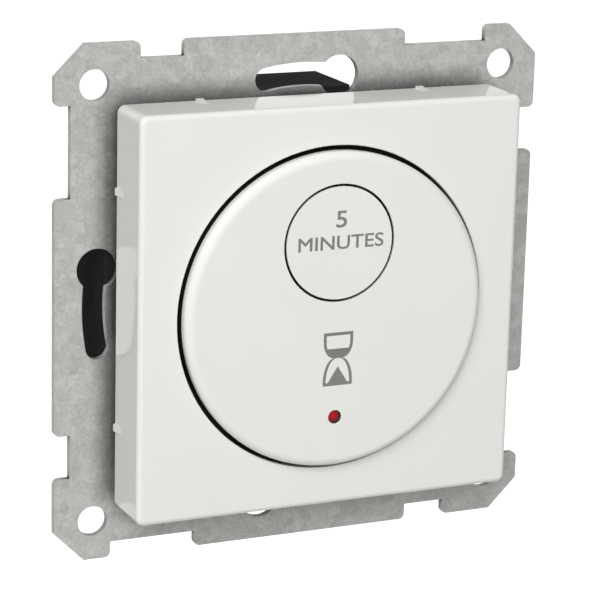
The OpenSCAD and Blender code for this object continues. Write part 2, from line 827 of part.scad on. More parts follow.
// Two rows of flat leads along x, bent down from a body and out along the board
module flat_leads(count, pitch, body_w, width, reach, rise) {
    for (i = [0:count - 1], turn = [0, 180]) rotate(turn)
        translate([(i - (count - 1) / 2) * pitch - width / 2, body_w / 2 - lead_t]) {
            cube([width, lead_t + reach, lead_t]);
            cube([width, 2 * lead_t, rise]);
        }
}

module switch_body() {
    well_z = switch_h - plunger_depth - button_travel - stop_gap;
    color("#2a2a2c") on_control_board([0, button_up]) difference() {
        union() {
            between(0, switch_h) square(switch_size, center = true);
            rotate(90) flat_leads(2, switch_size * 2 / 3, switch_size, 3 * lead_t, 4 * lead_t, switch_h / 2);
        }
        between(well_z, switch_h + over) circle(plunger_r + run_fit);
    }
}

module switch_plunger() {
    color("dimgray") on_control_board([0, button_up])
        between(switch_h - plunger_depth, switch_h + plunger_proud) circle(plunger_r);
}

module status_led() {
    base_h = led_h / 2;
    end_cap = 0.6;
    color("mistyrose") on_control_board([0, -lens_down]) {
        between(0, base_h) square([led_l, led_w], center = true);
        between(0, led_h) square([led_l - 2 * end_cap, led_w - lead_t], center = true);
    }
}

module controller_chip() {
    stand = 0.15;
    color("#232326") on_control_board(chip_at) {
        between(stand, chip_h) square([chip_l, chip_w], center = true);
        flat_leads(chip_leads, chip_pitch, chip_w, chip_pitch / 3, 4 * lead_t, (chip_h + stand) / 2);
    }
}

// A flat bar with round ends, of the full length and width given
module round_ended(length, width) {
    square([length - width, width], center = true);
    for (side = sides) translate([side * (length - width) / 2, 0]) circle(width / 2);
}

module crystal_can() {
    brim_t = 0.5;
    color("gainsboro") on_control_board(crystal_at) {
        between(0, brim_t) round_ended(crystal_l + 2 * crystal_brim, crystal_w + 2 * crystal_brim);
        between(0, crystal_h) round_ended(crystal_l, crystal_w);
    }
}

module at_links() {
    for (i = [0:link_pins - 1])
        translate([(i - (link_pins - 1) / 2) * link_pitch, link_y]) children();
}

module header_strip() {
    color("#222224") upright() between(ledge_z - link_strip_h, ledge_z) difference() {
        translate([0, link_y]) square([link_pins * link_pitch, link_pitch], center = true);
        at_links() circle(link_pin_d / 2 + run_fit);
    }
}

module header_pins() {
    color("gold") upright() at_links() between(power_front_z, ledge_z) circle(link_pin_d / 2);
}

module power_board() {
    color("#1f5c34") upright() between(power_z, power_front_z) octagon(board_inset);
}

// Stands a part on the rear side of the power board, with z away from the board
module on_power_board(place) {
    upright() translate([place.x, place.y, power_z]) mirror([0, 0, 1]) children();
}

module relay_base() {
    base_gap = relay_wall + stop_gap;
    pin_end = relay_l / 2 - relay_pin_inset;
    color("#202022") on_power_board(relay_at) {
        between(relay_stand, relay_floor_h)
            square([relay_l - 2 * base_gap, relay_w - 2 * base_gap], center = true);
        for (end = sides, k = [0, 1], side = sides)
            translate([end * (pin_end - k * relay_pin_step), side * relay_pin_row])
                between(0, relay_floor_h) circle(lead_d / 2);
    }
}

// Angle of soft iron: an upright leg, a heel under the coil and the core
module relay_yoke() {
    leg_from = yoke_at - iron_t;
    color("lightgray") on_power_board(relay_at) {
        translate([leg_from, -iron_w / 2]) between(relay_floor_h, yoke_top_h) square([iron_t, iron_w]);
        translate([leg_from, -iron_w / 2]) between(relay_floor_h, relay_floor_h + heel_t)
            square([coil_at + core_r - leg_from, iron_w]);
        translate([coil_at, 0]) between(relay_floor_h, yoke_top_h - pole_gap) circle(core_r);
    }
}

module relay_bobbin() {
    color("#e8e2d0") on_power_board(relay_at) translate([coil_at, 0]) difference() {
        union() {
            between(bobbin_low_h, bobbin_low_h + bobbin_end_t) circle(bobbin_r);
            between(bobbin_high_h - bobbin_end_t, bobbin_high_h) circle(bobbin_r);
            between(bobbin_low_h, bobbin_high_h) circle(core_r + bobbin_wall);
        }
        between(bobbin_low_h - over, bobbin_high_h + over) circle(core_r + run_fit);
    }
}

module relay_winding() {
    color("#a4501f") on_power_board(relay_at) translate([coil_at, 0])
        between(bobbin_low_h + bobbin_end_t, bobbin_high_h - bobbin_end_t) difference() {
            circle(winding_r);
            circle(core_r + bobbin_wall);
        }
}

module relay_armature() {
    color("silver") on_power_board(relay_at) translate([yoke_at - iron_t, -iron_w / 2])
        between(yoke_top_h + run_fit, leaf_h) square([armature_l, iron_w]);
}

module relay_contact_spring() {
    leaf_from = yoke_at + leaf_root;
    color("peru") on_power_board(relay_at) {
        translate([leaf_from, -leaf_w / 2]) between(leaf_h, leaf_h + leaf_t)
            square([contact_at + contact_r + contact_lip - leaf_from, leaf_w]);
        translate([contact_at, 0]) between(leaf_h - contact_h, leaf_h + leaf_t) circle(contact_r);
    }
}

// Contact on a bent strip that stands on the relay's base
module relay_fixed_contact() {
    shelf_h = contact_face_h - contact_h;
    shelf_from = contact_at - contact_r - contact_lip;
    shelf_l = 2 * (contact_r + contact_lip) + strip_t;
    color("peru") on_power_board(relay_at) {
        translate([contact_at, 0]) between(shelf_h - strip_t, contact_face_h) circle(contact_r);
        translate([shelf_from, -leaf_w / 2]) between(shelf_h - strip_t, shelf_h) square([shelf_l, leaf_w]);
        translate([shelf_from + shelf_l - strip_t, -leaf_w / 2])
            between(relay_floor_h, shelf_h) square([strip_t, leaf_w]);
    }
}

module relay_cover() {
    color("#d9d6cc") on_power_board(relay_at) difference() {
        between(0, relay_h) square([relay_l, relay_w], center = true);
        between(-over, relay_h - relay_wall)
            square([relay_l - 2 * relay_wall, relay_w - 2 * relay_wall], center = true);
    }
}

// Two round leads along x that hold a body above the board
module lead_pair(spacing, height) {
    for (side = sides) translate([side * spacing / 2, 0]) between(0, height) circle(lead_d / 2);
}

module film_capacitor() {
    stand = 0.5;
    lead_inset = 2.5;
    color("#c9b24a") on_power_board(film_at) {
        between(stand, film_h) square([film_l, film_w], center = true);
        lead_pair(film_l - lead_inset, stand + over);
    }
}

module smoothing_capacitor() {
    stand = 0.3;
    groove_up = 1.6;
    groove_r = 0.7;
    groove_depth = 0.4;
    color("#2c2f3a") on_power_board(can_at) {
        rotate_extrude() difference() {
            translate([0, stand]) square([can_d / 2, can_h]);
            translate([can_d / 2 + groove_r - groove_depth, stand + groove_up]) circle(groove_r);
        }
        lead_pair(can_d * 0.44, stand + over);
    }
}

module varistor() {
    stand = 1.4;
    color("#2f5fa8") on_power_board(varistor_at) {
        translate([0, 0, stand + varistor_d / 2]) rotate([0, 90, 0])
            cylinder(d = varistor_d, h = varistor_t, center = true);
        rotate(72) lead_pair(varistor_d * 0.58, stand + varistor_d / 4);
    }
}

module fusible_resistor() {
    stand = 0.4;
    cap_l = 2;
    waist = 0.25;
    lead_out = 1.4;
    axis_h = stand + fuse_d / 2;
    span = fuse_l + 2 * lead_out;
    color("#7f8f86") on_power_board(fuse_at) {
        translate([-fuse_l / 2, 0, axis_h]) rotate([0, 90, 0]) rotate_extrude() {
            square([fuse_d / 2 - waist, fuse_l]);
            for (end = [0, fuse_l - cap_l]) translate([0, end]) square([fuse_d / 2, cap_l]);
        }
        translate([0, 0, axis_h]) rotate([0, 90, 0]) cylinder(d = lead_d, h = span, center = true);
        lead_pair(span, axis_h + lead_d / 2);
    }
}

module bridge_rectifier() {
    stand = 0.2;
    color("#262629") on_power_board(rectifier_at) {
        between(stand, rectifier_h) square([rectifier_l, rectifier_w], center = true);
        flat_leads(2, rectifier_l / 2, rectifier_w, 3 * lead_t, 5 * lead_t, rectifier_h / 2);
    }
}

module terminal_bars() {
    color("#c9a14a") upright() for (i = [-1:1]) translate([i * terminal_pitch - bar_w / 2, 0]) {
        translate([0, bar_from_y]) between(bar_z, bar_z + bar_t)
            square([bar_w, bar_leg_y + bar_t - bar_from_y]);
        translate([0, bar_leg_y]) between(bar_z, power_z) square([bar_w, bar_t]);
    }
}

module at_terminal(i) {
    upright() translate([i * terminal_pitch, terminal_y]) children();
}

module terminal_cage(i) {
    low = cage_rear_z - cage_rear_t;
    color("#b9bcc0") at_terminal(i) difference() {
        between(low, cage_front_z + cage_front_t) square([cage_w, cage_len], center = true);
        between(cage_rear_z, cage_front_z)
            square([cage_w - 2 * cage_t, cage_len + 2 * over], center = true);
        between(low - over, cage_rear_z + over) circle(screw_d / 2 + run_fit);
    }
}

// Combination head: a slot right across and a shorter one square to it
module terminal_screw(i) {
    low = screw_head_z - screw_head_h;
    slot_depth = screw_head_h / 2;
    color("#c3c6ca") at_terminal(i) difference() {
        union() {
            between(low, screw_head_z) circle(d = screw_head_d);
            between(screw_head_z - over, screw_tip_z) circle(d = screw_d);
        }
        between(low - over, low + slot_depth) {
            square([screw_head_d + over, screw_slot_w], center = true);
            square([screw_slot_w, screw_head_d - 2 * screw_slot_w], center = true);
        }
    }
}

support_plate();
housing_base();
front_carrier();
centre_plate();
disc_ring();
face_disc();
push_button();
button_spring();
light_guide();
control_board();
switch_body();
switch_plunger();
status_led();
controller_chip();
crystal_can();
header_strip();
header_pins();
power_board();
relay_base();
relay_yoke();
relay_bobbin();
relay_winding();
relay_armature();
relay_contact_spring();
relay_fixed_contact();
relay_cover();
film_capacitor();
smoothing_capacitor();
varistor();
fusible_resistor();
bridge_rectifier();
terminal_bars();
terminal_cage(-1);  // terminal_cage_1
terminal_cage(0);  // terminal_cage_2
terminal_cage(1);  // terminal_cage_3
terminal_screw(-1);  // terminal_screw_1
terminal_screw(0);  // terminal_screw_2
terminal_screw(1);  // terminal_screw_3
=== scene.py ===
import math

import bmesh
import bpy
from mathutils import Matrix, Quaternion, Vector


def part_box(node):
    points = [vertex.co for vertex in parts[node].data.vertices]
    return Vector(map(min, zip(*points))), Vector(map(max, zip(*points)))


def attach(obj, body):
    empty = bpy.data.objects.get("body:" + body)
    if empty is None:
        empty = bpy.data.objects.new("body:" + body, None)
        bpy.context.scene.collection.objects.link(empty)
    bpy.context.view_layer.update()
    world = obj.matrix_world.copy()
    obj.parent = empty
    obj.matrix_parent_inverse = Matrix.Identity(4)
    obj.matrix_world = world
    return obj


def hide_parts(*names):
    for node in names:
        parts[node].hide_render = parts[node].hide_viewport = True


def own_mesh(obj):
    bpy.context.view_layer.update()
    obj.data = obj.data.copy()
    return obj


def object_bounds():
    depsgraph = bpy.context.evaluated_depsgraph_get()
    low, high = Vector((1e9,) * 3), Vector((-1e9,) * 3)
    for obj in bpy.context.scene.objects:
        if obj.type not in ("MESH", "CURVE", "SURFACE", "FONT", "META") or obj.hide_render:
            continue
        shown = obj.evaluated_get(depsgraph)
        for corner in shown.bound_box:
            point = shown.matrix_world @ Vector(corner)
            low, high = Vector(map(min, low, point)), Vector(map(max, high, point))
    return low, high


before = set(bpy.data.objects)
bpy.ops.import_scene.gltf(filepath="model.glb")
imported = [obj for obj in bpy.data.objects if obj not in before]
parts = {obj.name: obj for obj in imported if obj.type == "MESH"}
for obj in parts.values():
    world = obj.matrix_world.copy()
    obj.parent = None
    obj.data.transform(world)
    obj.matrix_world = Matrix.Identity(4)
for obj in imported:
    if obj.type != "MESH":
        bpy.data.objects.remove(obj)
cad_low, cad_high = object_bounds()


# Support plate: a stamped steel sheet, hot-dip galvanised, that the box screws pull to the wall.
# The zinc is matt with faint cloudy spangle, and the sheared edges show bare steel. Shade is
# painted darker into the zinc where the cover shelters it.

MM = 0.001


def finish_parts(finishes):
    """Gives each named part its finish."""
    for name, finish in finishes.items():
        parts[name].active_material = finish


def add_node(tree, kind, inputs=None, **settings):
    """A shader node. An input is a value, or another node's output that is linked to it."""
    made = tree.nodes.new("ShaderNode" + kind)
    for name, value in settings.items():
        setattr(made, name, value)
    for socket, value in (inputs or {}).items():
        if isinstance(value, bpy.types.NodeSocket):
            tree.links.new(value, made.inputs[socket])
        else:
            made.inputs[socket].default_value = value
    return made


def new_finish(name):
    """A material with its node tree, its shader and the place of each point on the piece."""
    made = bpy.data.materials.new(name)
    made.use_nodes = True
    tree = made.node_tree
    return made, tree, tree.nodes["Principled BSDF"], add_node(tree, "TexCoord").outputs["Object"]


def spread(tree, value, low_in, high_in, low=0.0, high=1.0):
    """A value taken from one range to another, held at its ends."""
    ranged = add_node(tree, "MapRange", {"Value": value, "From Min": low_in, "From Max": high_in,
                                         "To Min": low, "To Max": high})
    return ranged.outputs["Result"]


def clouds(tree, place, scale, low=0.0, high=1.0, detail=3.0):
    """Soft noise between two values."""
    thin, thick = 0.3, 0.7
    noise = add_node(tree, "TexNoise", {"Vector": place, "Scale": scale, "Detail": detail})
    return spread(tree, noise.outputs["Fac"], thin, thick, low, high)


def mottle(tree, place, size, low=0.0, high=1.0, detail=3.0):
    """Cloudy variation between two values, with clouds of about the given size."""
    return clouds(tree, place, 1 / size, low, high, detail)


def shades(tree, share, *colours):
    """A run of colours, evenly spaced along a share from 0 to 1."""
    ramp = add_node(tree, "ValToRGB", {"Fac": share})
    stops = ramp.color_ramp.elements
    while len(stops) < len(colours):
        stops.new(0.5)
    for k, colour in enumerate(colours):
        stops[k].position = k / (len(colours) - 1)
        stops[k].color = (*colour, 1.0)
    return ramp.outputs["Color"]


def blended(tree, share, first, second, blend_type="MIX"):
    """Two colours or places blended by a share."""
    mix = add_node(tree, "MixRGB", {"Fac": share, "Color1": first, "Color2": second},
                   blend_type=blend_type)
    return mix.outputs["Color"]


def broken_edges(tree, radius):
    """The surface's direction, with sharp edges broken to a small radius."""
    return add_node(tree, "Bevel", {"Radius": radius}, samples=4).outputs["Normal"]


def openness(tree, reach):
    """Share of open space within a reach: 1 on a free face, towards 0 in a narrow gap."""
    return add_node(tree, "AmbientOcclusion", {"Distance": reach}, samples=8).outputs["AO"]


def worn(tree, direction):
    """Share of wear: 0 on a flat face, towards 1 on a sharp edge."""
    flat, sharp = 0.99, 0.75
    face = add_node(tree, "NewGeometry").outputs["True Normal"]
    facing = add_node(tree, "VectorMath", {0: direction, 1: face}, operation="DOT_PRODUCT")
    return spread(tree, facing.outputs["Value"], flat, sharp)


def paint(tree, shader, colour, roughness):
    """Links a colour and a roughness to the shader."""
    tree.links.new(colour, shader.inputs["Base Color"])
    tree.links.new(roughness, shader.inputs["Roughness"])


def relief(tree, shader, height, depth, direction):
    """Surface relief of the given depth, on the given direction of the surface."""
    bump = add_node(tree, "Bump", {"Height": height, "Distance": depth, "Strength": 1.0,
                                   "Normal": direction})
    tree.links.new(bump.outputs["Normal"], shader.inputs["Normal"])


def galvanised_sheet():
    """Spangled zinc, worn to bare steel on its edges, with shade painted in where the cover
    shelters it.
    """
    spangle_size, spangle_blur, drift_reach = 1.4 * MM, 0.35, 1.2 * MM
    grain_size, grain_detail, grain_share, zinc_depth = 0.4 * MM, 5.0, 0.55, 0.01 * MM
    darkest, lightest, dull, bright, metallic = 0.1, 0.9, 0.6, 0.48, 0.12
    zinc_shades = (0.405, 0.405, 0.39), (0.478, 0.478, 0.462), (0.567, 0.567, 0.551)
    bare_steel, edge_radius = (0.36, 0.36, 0.35, 1.0), 0.1 * MM
    painted_shade_reach, sheltered, free, deepest_painted_shade = 4 * MM, 0.6, 0.95, 0.03
    made, tree, shader, place = new_finish("galvanised_sheet")
    drift = add_node(tree, "TexNoise", {"Vector": place, "Scale": 1 / (2 * spangle_size),
                                        "Detail": 3.0})
    warped = blended(tree, drift_reach, place, drift.outputs["Color"], "ADD")
    spangle = add_node(tree, "TexVoronoi", {"Vector": warped, "Scale": 1 / spangle_size,
                                            "Smoothness": spangle_blur}, feature="SMOOTH_F1")
    cell = add_node(tree, "SeparateColor", {"Color": spangle.outputs["Color"]}).outputs["Red"]
    grain = mottle(tree, place, grain_size, detail=grain_detail)
    tone = spread(tree, blended(tree, grain_share, cell, grain), darkest, lightest)
    direction = broken_edges(tree, edge_radius)
    zinc = shades(tree, tone, *zinc_shades)
    colour = blended(tree, worn(tree, direction), zinc, bare_steel)
    # Painted shade: the zinc is coloured darker where the cover closes in round it.
    painted_shelter_shade = spread(tree, openness(tree, painted_shade_reach), sheltered, free, deepest_painted_shade, 1.0)
    painted_shade_zinc = blended(tree, 1.0, colour, painted_shelter_shade, "MULTIPLY")
    paint(tree, shader, painted_shade_zinc, spread(tree, tone, 0.0, 1.0, dull, bright))
    shader.inputs["Metallic"].default_value = metallic
    relief(tree, shader, tone, zinc_depth, direction)
    return made


finish_parts({"support_plate": galvanised_sheet()})


# Housing: a black glass-filled moulding behind the plate, with a lug on each side under a keyhole.
# It comes off a spark-eroded tool, so its faces have a fine matt grain. Its edges are painted
# lighter grey, partly as rub wear and partly as a painted highlight.

def around(colour, variation):
    """A darker and a lighter shade of a colour."""
    return ([channel * (1 - variation) for channel in colour],
            [min(1.0, channel * (1 + variation)) for channel in colour])


def moulding(name, colour, roughness, grain_size, grain_depth, edge_radius=0.1 * MM,
             variation=0.06, shine=0.5, rubbed_and_highlit=None):
    """Moulded plastic: a faint drift of colour and gloss, the grain of its tool, and edges that
    can be painted lighter, partly as rub wear and partly as a painted highlight."""
    drift_size, gloss_size, gloss_swing, grain_detail = 9 * MM, 2 * MM, 0.1, 2.0
    made, tree, shader, place = new_finish(name)
    body = shades(tree, mottle(tree, place, drift_size), *around(colour, variation))
    direction = broken_edges(tree, edge_radius)
    # Lighter edges: partly rub wear, partly a painted edge highlight.
    if rubbed_and_highlit:
        body = blended(tree, worn(tree, direction), body, (*rubbed_and_highlit, 1.0))
    gloss = mottle(tree, place, gloss_size,
                   roughness * (1 - gloss_swing), roughness * (1 + gloss_swing))
    paint(tree, shader, body, gloss)
    shader.inputs["Specular IOR Level"].default_value = shine
    grain = mottle(tree, place, grain_size, detail=grain_detail)
    relief(tree, shader, grain, grain_depth, direction)
    return made


black_moulding = moulding("black_moulding", (0.019, 0.019, 0.0193), roughness=0.6,
                          grain_size=0.18 * MM, grain_depth=0.006 * MM, edge_radius=0.2 * MM,
                          variation=0.2, shine=0.004, rubbed_and_highlit=(0.05, 0.05, 0.051))
finish_parts({"housing_base": black_moulding})


# Terminals: brass bars that run to the power board, and zinc-plated steel cages that clamp the wire
# when their screws are turned from behind.

STREAK_LENGTH, STREAK_WIDTH = 2.5 * MM, 0.125 * MM
LONG, FINE = 1 / STREAK_LENGTH, 1 / STREAK_WIDTH
ALONG_X, ALONG_Y = (LONG, FINE, FINE), (FINE, LONG, FINE)


def metal(name, colour, roughness, streak):
    """Rolled or drawn metal, with fine streaks along one direction and duller patches."""
    variation, streak_detail, streak_depth = 0.08, 4.0, 0.003 * MM
    patch_size, patch_swing, edge_radius = 1.5 * MM, 0.2, 0.06 * MM
    made, tree, shader, place = new_finish(name)
    stretched = add_node(tree, "Mapping", {"Vector": place, "Scale": streak}).outputs["Vector"]
    tone = clouds(tree, stretched, 1.0, detail=streak_detail)
    patches = mottle(tree, place, patch_size,
                     roughness * (1 - patch_swing), roughness * (1 + patch_swing))
    paint(tree, shader, shades(tree, tone, *around(colour, variation)), patches)
    shader.inputs["Metallic"].default_value = 1.0
    relief(tree, shader, tone, streak_depth, broken_edges(tree, edge_radius))
    return made


terminal_brass = metal("terminal_brass", (0.66, 0.48, 0.2), roughness=0.3, streak=ALONG_Y)
plated_steel = metal("plated_steel", (0.56, 0.57, 0.58), roughness=0.32, streak=ALONG_X)
finish_parts({"terminal_bars": terminal_brass})
for number in (1, 2, 3):
    finish_parts({f"terminal_cage_{number}": plated_steel,
                  f"terminal_screw_{number}": plated_steel})


# Power board: a glass-epoxy board with green resist, and on it the supply parts: a boxed film
# capacitor, an electrolytic can in its sleeve, a dipped varistor, a lacquered resistor and a
# bridge rectifier.

def circuit_board():
    """Green solder resist over patches of copper, with the weave of the glass cloth showing."""
    patch_size, weave_size, resist_depth = 5 * MM, 0.5 * MM, 0.01 * MM
    groove_end, patch_start, edge_radius = 0.07, 0.11, 0.05 * MM
    over_glass, over_copper = (0.014, 0.085, 0.036), (0.026, 0.14, 0.056)
    gloss_size, glossy, dull = 3 * MM, 0.25, 0.4
    made, tree, shader, place = new_finish("circuit_board")
    weave = add_node(tree, "TexChecker", {"Vector": place, "Scale": 1 / weave_size})
    nearest, second = [
        add_node(tree, "TexVoronoi", {"Vector": place, "Scale": 1 / patch_size}, feature=feature,
                 distance="CHEBYCHEV").outputs["Distance"] for feature in ("F1", "F2")]
    from_border = add_node(tree, "Math", {0: second, 1: nearest}, operation="SUBTRACT")
    copper = spread(tree, from_border.outputs["Value"], groove_end, patch_start)
    paint(tree, shader, shades(tree, copper, over_glass, over_copper),
          mottle(tree, place, gloss_size, glossy, dull))
    height = add_node(tree, "Math", {0: copper, 1: weave.outputs["Fac"]}, operation="ADD")
    relief(tree, shader, height.outputs["Value"], resist_depth, broken_edges(tree, edge_radius))
    return made


board = circuit_board()
finish_parts({
    "power_board": board,
    "film_capacitor": moulding("film_box", (0.62, 0.47, 0.1), roughness=0.35,
                               grain_size=0.3 * MM, grain_depth=0.004 * MM),
    "smoothing_capacitor": moulding("shrunk_sleeve", (0.03, 0.04, 0.08), roughness=0.22,
                                    grain_size=1.2 * MM, grain_depth=0.006 * MM),
    "varistor": moulding("dipped_epoxy", (0.05, 0.13, 0.36), roughness=0.25,
                         grain_size=1.0 * MM, grain_depth=0.02 * MM, edge_radius=0.4 * MM),
    "fusible_resistor": moulding("flameproof_lacquer", (0.25, 0.31, 0.27), roughness=0.5,
                                 grain_size=0.4 * MM, grain_depth=0.015 * MM,
                                 edge_radius=0.2 * MM),
    "bridge_rectifier": moulding("filled_epoxy", (0.02, 0.02, 0.021), roughness=0.55,
                                 grain_size=0.12 * MM, grain_depth=0.008 * MM),
})


# Relay: a nickel-plated yoke, core and armature round a copper coil on a nylon bobbin, with bronze
# contact springs, in a moulded case.

def copper_winding():
    """Enamelled copper wire in close turns round the coil's axis, which is the row's Y, with shade
    painted dark between the turns.
    """
    wave_rate, half_turn, waver, turn_depth = 0.16, 0.25 * MM, 0.3, 0.1 * MM
    painted_shade_between_turns, on_turns, metallic = (0.16, 0.05, 0.02), (0.62, 0.25, 0.1), 0.9
    gloss_size, glossy, dull, edge_radius = 1 * MM, 0.22, 0.38, 0.05 * MM
    made, tree, shader, place = new_finish("copper_winding")
    turns = add_node(tree, "TexWave", {"Vector": place, "Scale": wave_rate / half_turn,
                                       "Distortion": waver}, bands_direction="Y").outputs["Fac"]
    # Painted shade: the grooves between the turns are coloured dark.
    paint(tree, shader, shades(tree, turns, painted_shade_between_turns, on_turns),
          mottle(tree, place, gloss_size, glossy, dull))
    shader.inputs["Metallic"].default_value = metallic
    relief(tree, shader, turns, turn_depth, broken_edges(tree, edge_radius))
    return made


contact_bronze = metal("contact_bronze", (0.6, 0.38, 0.18), roughness=0.28, streak=ALONG_X)
nickel_iron = metal("nickel_iron", (0.5, 0.49, 0.47), roughness=0.36, streak=ALONG_Y)
finish_parts({
    "relay_base": moulding("relay_base_moulding", (0.02, 0.02, 0.022), roughness=0.45,
                           grain_size=0.2 * MM, grain_depth=0.006 * MM),
    "relay_cover": moulding("relay_case_moulding", (0.7, 0.67, 0.58), roughness=0.35,
                            grain_size=0.3 * MM, grain_depth=0.005 * MM),
    "relay_bobbin": moulding("natural_nylon", (0.78, 0.72, 0.58), roughness=0.45,
                             grain_size=0.4 * MM, grain_depth=0.006 * MM),
    "relay_winding": copper_winding(),
    "relay_yoke": nickel_iron,
    "relay_armature": nickel_iron,
    "relay_contact_spring": contact_bronze,
    "relay_fixed_contact": contact_bronze,
})


# Carrier: a dark moulded frame on the front of the plate. Its arms clip into the housing behind,
# and it holds the control board, the ring and the cover.

finish_parts({
    "front_carrier": moulding("carrier_moulding", (0.018, 0.018, 0.02), roughness=0.5,
                              grain_size=0.2 * MM, grain_depth=0.006 * MM, edge_radius=0.12 * MM,
                              variation=0.15, shine=0.25),
})


# Control board: the timer's chip, its crystal, the key switch, the red lamp and the pins that link
# it to the power board, with the return spring of the button standing on it.
# The spring is a coil of drawn wire, which shortens on the real timer as the button goes in;
# here it is a copy of fixed shape that rides with the insert.

bright_tin = metal("bright_tin", (0.72, 0.72, 0.7), roughness=0.18, streak=ALONG_X)
component_epoxy = moulding("component_epoxy", (0.022, 0.022, 0.024), roughness=0.55,
                           grain_size=0.1 * MM, grain_depth=0.008 * MM)
finish_parts({
    "control_board": board,
    "controller_chip": component_epoxy,
    "switch_body": component_epoxy,
    "header_strip": component_epoxy,
    "switch_plunger": moulding("key_grey", (0.2, 0.2, 0.205), roughness=0.4,
                               grain_size=0.2 * MM, grain_depth=0.005 * MM),
    "status_led": moulding("lamp_resin", (0.8, 0.7, 0.66), roughness=0.2,
                           grain_size=0.6 * MM, grain_depth=0.004 * MM),
    "crystal_can": bright_tin,
    "header_pins": bright_tin,
    "button_spring": metal("drawn_spring_wire", (0.5, 0.5, 0.52), roughness=0.3, streak=ALONG_X),
})


def put(name, data):
    """A new object in the scene."""
    made = bpy.data.objects.new(name, data)
    bpy.context.scene.collection.objects.link(made)
    return made


coil = put("return_coil", parts["button_spring"].data.copy())
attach(coil, "insert")
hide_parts("button_spring")
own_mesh(coil)


# Cover, disc and button: glossy warm-white mouldings over a black ring. The cover clips over the
# carrier, the disc snaps into the ring, and the button slides in the disc's collar.
# The gloss is from a polished tool, and shade is painted dark into the narrow seams.

def white_gloss():
    """Polished white plastic with a slight ripple, with shade painted dark into the seams."""
    seam_reach, seam_edge, seam_heart = 0.9 * MM, 0.46, 0.3
    tint_size, shaded_white, clear_white = 12 * MM, (0.845, 0.85, 0.815), (0.86, 0.865, 0.83)
    painted_seam_shade = (0.012, 0.012, 0.011, 1.0)
    gloss_size, glossy, dull, shine = 3 * MM, 0.07, 0.11, 0.3
    ripple_size, ripple_detail, ripple_depth, edge_radius = 1.6 * MM, 2.0, 0.0008 * MM, 0.08 * MM
    made, tree, shader, place = new_finish("white_gloss")
    # Painted shade: the colour goes dark where the seams close in.
    painted_seam_share = spread(tree, openness(tree, seam_reach), seam_edge, seam_heart)
    white = shades(tree, mottle(tree, place, tint_size), shaded_white, clear_white)
    paint(tree, shader, blended(tree, painted_seam_share, white, painted_seam_shade),
          mottle(tree, place, gloss_size, glossy, dull))
    shader.inputs["Specular IOR Level"].default_value = shine
    ripple = mottle(tree, place, ripple_size, detail=ripple_detail)
    relief(tree, shader, ripple, ripple_depth, broken_edges(tree, edge_radius))
    return made


polished_white = white_gloss()
finish_parts({
    "centre_plate": polished_white,
    "face_disc": polished_white,
    "push_button": polished_white,
    "disc_ring": black_moulding,
})


# Signs: a plain number and unit on the button and an hourglass on the disc, pad-printed in grey ink
# that stands about a hundredth of a millimetre proud.

INK_DEPTH, INK_ROOT, LETTER_SWELL = 0.012 * MM, 0.01 * MM, 0.012
face_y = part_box("face_disc")[0].y
grey_ink = moulding("grey_ink", (0.2, 0.203, 0.19), roughness=0.42, grain_size=0.15 * MM,
                    grain_depth=0.002 * MM, edge_radius=0.004 * MM, variation=0.12)


def printed(name, mesh, body):
    """A printed sign that rides on a body and takes the ink."""
    piece = put(name, mesh)
    mesh.materials.clear()
    mesh.materials.append(grey_ink)
    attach(piece, body)


def print_words(name, words, centre_x, centre_z, width, height, body):
    """A line of plain lettering, fitted to a width and a height about its centre."""
    curve = bpy.data.curves.new(name, "FONT")
    curve.body = words
    curve.resolution_u = 6
    curve.bevel_depth = LETTER_SWELL
    curve.bevel_resolution = 0
    source = put(name + "_curve", curve)
    bpy.context.view_layer.update()
    shaped = source.evaluated_get(bpy.context.evaluated_depsgraph_get())
    mesh = bpy.data.meshes.new_from_object(shaped)
    bpy.data.objects.remove(source)
    xs = [v.co.x for v in mesh.vertices]
    ys = [v.co.y for v in mesh.vertices]
    for v in mesh.vertices:
        x = centre_x + ((v.co.x - min(xs)) / (max(xs) - min(xs)) - 0.5) * width
        z = centre_z + ((v.co.y - min(ys)) / (max(ys) - min(ys)) - 0.5) * height
        proud = INK_DEPTH if v.co.z > 0 else INK_ROOT
        v.co = (x, face_y - proud * v.co.z / LETTER_SWELL, z)
    mesh.name = name
    printed(name, mesh, body)


print_words("time_number", "5", centre_x=0.2 * MM, centre_z=12.7 * MM,
            width=1.6 * MM, height=2.3 * MM, body="button")
print_words("time_unit", "MINUTES", centre_x=0.22 * MM, centre_z=9.55 * MM,
            width=12.5 * MM, height=1.9 * MM, body="button")

GLASS_X, GLASS_W, STROKE, NECK_W = 0.24 * MM, 4.34 * MM, 0.42 * MM, 0.3 * MM
GLASS_TOP, GLASS_NECK, GLASS_FOOT = -2.83 * MM, -6.41 * MM, -10.23 * MM
TOP_STRAIGHT, FOOT_STRAIGHT, BULB_STEPS = 0.35, 0.12, 14
SAND_LEVEL, PILE_SHARE, PILE_PEAK = 0.38, 0.33, 0.7


def bar_inside(end_z):
    """The inner edge of a bulb's end bar."""
    return end_z + math.copysign(STROKE, GLASS_NECK - end_z)


def bulb_side(end_z, straight, inset):
    """One side of a bulb, from its end bar to the neck: a straight stretch and a quarter of an
    ellipse."""
    half = GLASS_W / 2 - inset
    neck = NECK_W / 2 + STROKE - inset
    knee = end_z + (GLASS_NECK - end_z) * straight
    angles = [math.pi / 2 * k / BULB_STEPS for k in range(BULB_STEPS + 1)]
    curve = [(neck + (half - neck) * math.cos(angle), knee + (GLASS_NECK - knee) * math.sin(angle))
             for angle in angles]
    return [(half, bar_inside(end_z))] + curve


def both_sides(points):
    """An outline on the right of the sign's middle line, and the same one on its left."""
    return [[(GLASS_X + side * x, z) for x, z in points] for side in (1, -1)]


